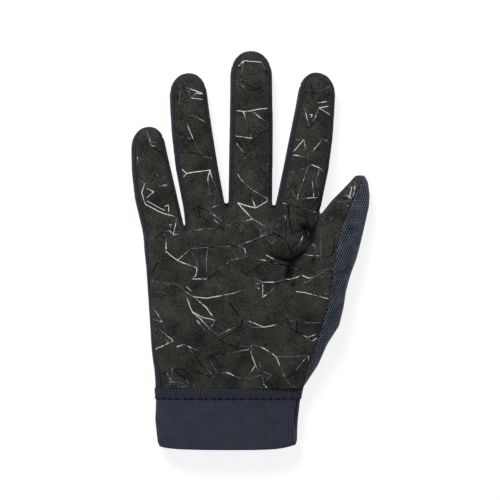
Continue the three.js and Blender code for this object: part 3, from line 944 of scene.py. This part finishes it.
def bars(name, paths, profile, widths=None):
    profile = np.array(profile) * mm
    points, faces = [], []
    count = len(profile)
    for index, path in enumerate(paths):
        width = widths[index] if widths else 1
        places = np.array([place for place, _ in path])
        normals = np.array([normal for _, normal in path])
        ways = np.gradient(places, axis=0)
        sides = np.cross(ways, normals)
        sides /= np.maximum(np.linalg.norm(sides, axis=1, keepdims=True), 1e-12)
        first = len(points)
        for place, side, normal in zip(places, sides, normals):
            points += [place + side * across * width + normal * high for across, high in profile]
        for r in range(len(path) - 1):
            for i in range(count):
                a, b = first + r * count + i, first + r * count + (i + 1) % count
                faces.append((a, b, b + count, a + count))
        last = first + (len(path) - 1) * count
        faces.append(tuple(first + count - 1 - i for i in range(count)))
        faces.append(tuple(last + i for i in range(count)))
    points = np.array(points)
    points[:, 2] = np.maximum(points[:, 2], barFloor)
    return objectFrom(name, points, faces)


def roundProfile(thick, sides=6):
    turns = [math.tau * i / sides for i in range(sides)]
    return [(-thick / 2 * math.cos(t), thick / 2 * math.sin(t)) for t in turns]


class Cloth:  # the panels seen from above
    def __init__(self, names):
        points, faces, self.owners = [], [], []
        for name in names:
            mesh = pieces[name].data
            first = len(points)
            points += [v.co for v in mesh.vertices]
            faces += [[first + i for i in p.vertices] for p in mesh.polygons]
            self.owners += [name] * len(mesh.polygons)
        self.tree = BVHTree.FromPolygons(points, faces)

    def under(self, x, y):  # place, normal and panel below a point
        place, normal, index, _ = self.tree.ray_cast(Vector((x, y, 50 * mm)), Vector((0, 0, -1)))
        return (place, normal, self.owners[index]) if place else (None, None, None)

    def clear(self, x, y, margin, fall):  # whether the suede lies open all round a point
        middle, _, owner = self.under(x, y)
        if owner not in ("palm_suede", "thumb_suede"):
            return False
        for turn in range(6):
            angle = turn * math.tau / 6
            place, _, panel = self.under(x + margin * math.cos(angle), y + margin * math.sin(angle))
            if panel != owner or abs(place.z - middle.z) > fall:
                return False
        return True


# Grip print: thin raised lines in a cracked pattern of its own
grip = {
    "left": -75,
    "right": 75,
    "bottom": -85,
    "top": 120,
    "spacing": 12.2,
    "rows": 0.8,  # of the spacing, between two rows
    "jitter": 4.8,
    "kept": 0.8,
    "meet": 3,  # lines at one place, at most
    "kinked": 0.5,
    "kink": 1.8,
    "kinkAt": (0.3, 0.7),
    "wedges": 0.14,
    "wedgeFoot": (2, 3.2),
    "wedgeTip": (1.6, 2),
    "shards": 0.16,
    "shardAt": (0.2, 0.6),
    "shardSize": (3.5, 7),
    "thin": 0.42,  # how much narrower the palest lines are
    "bend": (12, 0.9),  # size and reach of the slow bends, then of the fine ones
    "tremble": (2, 0.13),
    "apart": 1.5 * mm,  # a line stops where it would run beside another
    "step": 0.7 * mm,
    "margin": 0.55 * mm,
    "fall": 0.7 * mm,
    "least": 5,  # places in the shortest line that is kept
    "profile": [(-0.36, -0.15), (-0.28, 0.07), (0, 0.15), (0.28, 0.07), (0.36, -0.15)],
}


def crackLines():  # straight cracks between jittered places, with kinks, wedges and small shards
    spots = []
    row = 0
    y = grip["bottom"]
    while y < grip["top"]:
        x = grip["left"] + (row % 2) * grip["spacing"] / 2
        while x < grip["right"]:
            shift = [random.uniform(-grip["jitter"], grip["jitter"]) for _ in range(2)]
            spots.append(Vector((x + shift[0], y + shift[1])))
            x += grip["spacing"]
        y += grip["spacing"] * grip["rows"]
        row += 1
    joins = geometry.delaunay_2d_cdt(spots, [], [], 0, 1e-4)[1]
    lines, extras = [], []
    meeting = [0] * len(spots)
    for a, b in sorted(sorted(join) for join in joins):
        start, end = spots[a], spots[b]
        way = end - start
        if random.random() > grip["kept"] or way.length > 2 * grip["spacing"]:
            continue
        if max(meeting[a], meeting[b]) >= grip["meet"]:
            continue
        meeting[a] += 1
        meeting[b] += 1
        side = Vector((-way.y, way.x)).normalized()
        kink = random.uniform(-grip["kink"], grip["kink"]) if random.random() < grip["kinked"] else 0
        middle = start + way * random.uniform(*grip["kinkAt"]) + side * kink
        lines.append([start, middle, end])
        if random.random() < grip["wedges"]:
            foot = start + side * random.uniform(*grip["wedgeFoot"])
            extras.append([foot, middle + side * random.uniform(*grip["wedgeTip"])])
        if random.random() < grip["shards"]:
            size = random.uniform(*grip["shardSize"])
            foot = start + way * random.uniform(*grip["shardAt"])
            tip = foot + way.normalized() * size * 0.6 + side * size * random.choice((-0.8, 0.8))
            extras.append([foot, tip, foot + way.normalized() * size])
    return lines, extras


def bent(spot):
    for size, reach in (grip["bend"], grip["tremble"]):
        spot = spot + noise.noise_vector(Vector((spot.x / size, spot.y / size, 5))).xy * reach
    return spot


def gripPrint(cloth):
    paths, levels = [], []
    taken = {}  # the places of finished lines and their directions, by square

    def square(spot):
        return round(spot.x / grip["apart"]), round(spot.y / grip["apart"])

    def beside(spot, way):
        column, row = square(spot)
        for i in (-1, 0, 1):
            for j in (-1, 0, 1):
                for other, direction in taken.get((column + i, row + j), ()):
                    if (other - spot).length < grip["apart"] and abs(direction.dot(way)) > 0.82:
                        return True
        return False

    mainLines, extras = crackLines()
    for index, line in enumerate(mainLines + extras):
        level = random.random()
        run = []
        for a, b in zip(line, line[1:]):
            steps = max(2, round((b - a).length * mm / grip["step"]))
            run += [bent(a + (b - a) * (i / steps)) * mm for i in range(steps)]
        run.append(bent(line[-1]) * mm)
        way = (line[-1] - line[0]).normalized()
        path = []
        for spot in [*run, None]:
            free = spot is not None and not (index >= len(mainLines) and beside(spot, way))
            if free and cloth.clear(spot.x, spot.y, grip["margin"], grip["fall"]):
                place, normal, _ = cloth.under(spot.x, spot.y)
                path.append((place, normal))
                continue
            if len(path) >= grip["least"]:
                paths.append(path)
                levels.append(level)
            path = []
        for spot in run:
            taken.setdefault(square(spot), []).append((spot, way))
    thing = bars("grip_print", paths, grip["profile"], [1 - grip["thin"] * level for level in levels])
    values = []
    for path, level in zip(paths, levels):
        values += [level] * ((len(path) - 1) * len(grip["profile"]) + 2)
    carry(thing, "glint", values, "FACE")
    print("grip print", len(paths), "lines", len(values), "faces")
    return thing


# Stitches: short thread bars along the seams, set into one panel beside the seam
stitching = [
    {"seam": "strip_little_ring", "pitch": 1.9, "inset": 0.55, "length": 1.15},
    {"seam": "strip_ring_middle", "pitch": 1.9, "inset": 0.55, "length": 1.15},
    {"seam": "strip_middle_index", "pitch": 1.9, "inset": 0.55, "length": 1.15},
    {"seam": "back_knit", "pitch": 1.9, "inset": 0.7, "length": 1.15},
]
thumbStitches = {  # only along the lower part of the seam
    "seam": "thumb_suede",
    "pitch": 1.7,
    "inset": 0.6,
    "length": 1.1,
    "from": (28.5, -19),
    "to": (46, -10),
    "near": 4,
}
stitchThick = 0.34
stitchRise = ((-1, -0.12), (-0.4, 0.08), (0.4, 0.08), (1, -0.12))  # shares of half a stitch, and lifts


def chains(lines):  # the seam's edges as runs of points
    near = {}
    for a, b in lines:
        near.setdefault(int(a), []).append(int(b))
        near.setdefault(int(b), []).append(int(a))
    runs = []
    while near:
        start = next((v for v, others in near.items() if len(others) != 2), next(iter(near)))
        run = [start]
        while near.get(run[-1]):
            following = near[run[-1]].pop()
            near[following].remove(run[-1])
            run.append(following)
        near = {v: others for v, others in near.items() if others}
        runs.append(run)
    return runs


def stitches(cloth, first, second, style):  # paths of the stitches in the second panel
    names = list(panels)
    pair = sorted((names.index(first), names.index(second)))
    lines, owners = seamLines(faces, owner)
    paths = []
    for run in chains(lines[(owners == pair).all(axis=1)]):
        if len(run) < 12:
            continue
        line = points[run]
        for _ in range(6):
            line[1:-1] = (line[:-2] + 2 * line[1:-1] + line[2:]) / 4
        lengths = np.concatenate([[0], np.cumsum(np.linalg.norm(np.diff(line, axis=0), axis=1))])
        half = style["length"] / 2 * mm

        def at(distance):
            return Vector([np.interp(distance, lengths, line[:, axis]) for axis in range(3)])

        reach = style["pitch"] * mm / 2
        while reach < lengths[-1] - half:
            middle = at(reach)
            way = (at(reach + half) - at(reach - half)).normalized()
            _, normal, _, _ = cloth.tree.find_nearest(middle)
            side = way.cross(normal) * style["inset"] * mm
            if cloth.owners[cloth.tree.find_nearest(middle + side)[2]] != second:
                side = -side
            path = []
            for share, lift in stitchRise:
                place, normal, panel, _ = cloth.tree.find_nearest(middle + side + way * half * share)
                path.append((place + normal * lift * mm, normal))
            shown = True
            if "from" in style:
                (x0, y0), (x1, y1) = style["from"], style["to"]
                rise = y0 + (middle.x / mm - x0) * (y1 - y0) / (x1 - x0)
                shown = x0 < middle.x / mm < x1 and abs(middle.y / mm - rise) < style["near"]
            if shown and cloth.owners[panel] == second:
                paths.append(path)
            reach += style["pitch"] * mm
    return paths


# Rims of the binding at each crotch, in millimetres
rims = [
    {"at": (-36, 12.4), "size": (1.9, 2.2), "legs": 3.5},
    {"at": (-13, 24.9), "size": (2.1, 3.3), "legs": 2.5},
    {"at": (12.8, 24), "size": (2.2, 2.9), "legs": 2.5},
]
rimThick = 0.85


def rimPaths(cloth):
    paths = []
    for rim in rims:
        (x, y), (wide, tall) = rim["at"], rim["size"]
        spots = [(x - wide, y + rim["legs"] * (1 - i / 5)) for i in range(5)]
        spots += [(x - wide * math.cos(t), y - tall * math.sin(t)) for t in np.linspace(0, math.pi, 17)]
        spots += [(x + wide, y + rim["legs"] * (i + 1) / 5) for i in range(5)]
        path = []
        for spot in spots:
            place, normal, _ = cloth.under(spot[0] * mm, spot[1] * mm)
            if place and (not path or (place - path[-1][0]).length < 2 * mm):
                path.append((place - normal * 0.05 * mm, normal))
        paths.append(path)
    return paths


# Overlock threads across the cuff's seam, and dark bars of painted shade in the gaps of its lower stitches
overlock = {"pitch": 0.95, "thick": 0.3, "gap": 4, "gapSize": (1.4, 1.6), "gapThick": 1, "uneven": 0.16}


def ringPoint(section, turn, lift):  # a point on the cuff's outside, and its normal
    around = cuffRing(section, -lift)
    share = (turn / math.tau) % 1 * cuffShape["sides"]
    i = int(share)
    sides = cuffShape["sides"]
    place = around[i % sides] * (1 - share + i) + around[(i + 1) % sides] * (share - i)
    way = around[(i + 1) % sides] - around[i % sides]
    return Vector(place), Vector((way[2], 0, -way[0])).normalized()


def overlockPaths():
    low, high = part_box("cuff_seam")
    top, end = high.y + 0.3 * mm, low.y + 0.6 * mm
    base = {"height": high.z}
    ring = cuffRing({**base, "y": top}, 0)
    lengths = np.linalg.norm(np.roll(ring, -1, axis=0) - ring, axis=1)
    reach = np.concatenate([[0], np.cumsum(lengths)])
    turns = np.arange(len(reach)) * (math.tau / cuffShape["sides"])
    count = round(reach[-1] / (overlock["pitch"] * mm))
    threads, gaps = [], []
    for i in range(count):
        path = []
        for j in range(7):
            share = j / 6
            distance = (i + share * 1.6 * (1 if i % 2 else -1)) / count * reach[-1]
            turn = np.interp(distance % reach[-1], reach, turns)
            lift = (0.16 * math.sin(math.pi * share) ** 0.5 - 0.08) * mm
            path.append(ringPoint({**base, "y": top + (end - top) * share}, turn, lift))
        threads.append(path)
    count = round(reach[-1] / (overlock["gap"] * mm))
    half = 0.5 * overlock["gapSize"][0] / overlock["gap"]
    for i in range(count):
        jitter = random.uniform(-overlock["uneven"], overlock["uneven"])
        path = []
        for j in range(3):
            distance = (i + jitter + (j - 1) * half) / count * reach[-1]
            turn = np.interp(distance % reach[-1], reach, turns)
            y = low.y + (1.4 - abs(j - 1) * overlock["gapSize"][1] * 0.6) * mm
            path.append(ringPoint({**base, "y": y}, turn, -0.05 * mm))
        gaps.append(path)
    return threads, gaps


cloth = Cloth(panels)
finished(gripPrint(cloth), "grip")
paths = [path for style in stitching for path in stitches(cloth, "palm_suede", style["seam"], style)]
finished(bars("seam_stitches", paths, roundProfile(stitchThick)), "thread")
paths = stitches(cloth, "palm_suede", "thumb_suede", thumbStitches)
finished(bars("thumb_stitches", paths, roundProfile(stitchThick)), "thread_pale")
finished(bars("crotch_rims", rimPaths(cloth), roundProfile(rimThick, 8)), "rim")
threads, gaps = overlockPaths()
finished(bars("overlock_threads", threads, roundProfile(overlock["thick"])), "thread_seam")
# dark bars: painted shade in the stitches' gaps
finished(bars("overlock_gaps", gaps, roundProfile(overlock["gapThick"])), "gap_shade")
print("stitches")
finished(cuffBand(), "elastic", "cuff_band")
finished(cuffSeam(), "seam", "cuff_seam")
print("cuff")

# Camera, floor and light
view = {"width": 275 * mm, "lens": 150, "sensor": 36, "centre": (-0.22 * mm, 0.33 * mm), "lift": 8 * mm}
ground = {"size": 4, "shade": (0.25, 0.25, 0.25, 1), "glow": 0.81}
lights = {
    "key": {"place": (-0.35, 0.85, 0.8), "size": 0.45, "power": 13},
    "fill": {"place": (0.5, -0.5, 1), "size": 0.9, "power": 2},
}
surroundings = {"Color": (1, 1, 1, 1), "Strength": 0.32}


def camera():
    data = bpy.data.cameras.new("camera")
    data.lens = view["lens"]
    data.sensor_width = view["sensor"]
    thing = bpy.data.objects.new("camera", data)
    height = view["width"] * view["lens"] / view["sensor"] + view["lift"]
    thing.location = (*view["centre"], height)
    data.clip_start = 0.01
    bpy.context.scene.collection.objects.link(thing)
    bpy.context.scene.camera = thing


def floor():
    bpy.ops.mesh.primitive_plane_add(size=ground["size"])
    thing = bpy.context.object
    thing.name = "floor"
    finish = Finish("floor")
    finish.set(Base_Color=ground["shade"], Roughness=0.9)
    finish.set(Emission_Color=(1, 1, 1, 1), Emission_Strength=ground["glow"])
    thing.data.materials.append(finish.material)


def light(name, place, size, power):
    data = bpy.data.lights.new(name, "AREA")
    data.size = size
    data.energy = power
    thing = bpy.data.objects.new(name, data)
    thing.location = place
    thing.rotation_euler = (-Vector(place)).to_track_quat("-Z", "Y").to_euler()
    bpy.context.scene.collection.objects.link(thing)


camera()
floor()
for name, lamp in lights.items():
    light(name, **lamp)
world = bpy.data.worlds.new("studio")
world.use_nodes = True
for name, value in surroundings.items():
    world.node_tree.nodes["Background"].inputs[name].default_value = value
bpy.context.scene.world = world
bpy.context.scene.view_settings.view_transform = "Standard"
print("camera, floor and light")
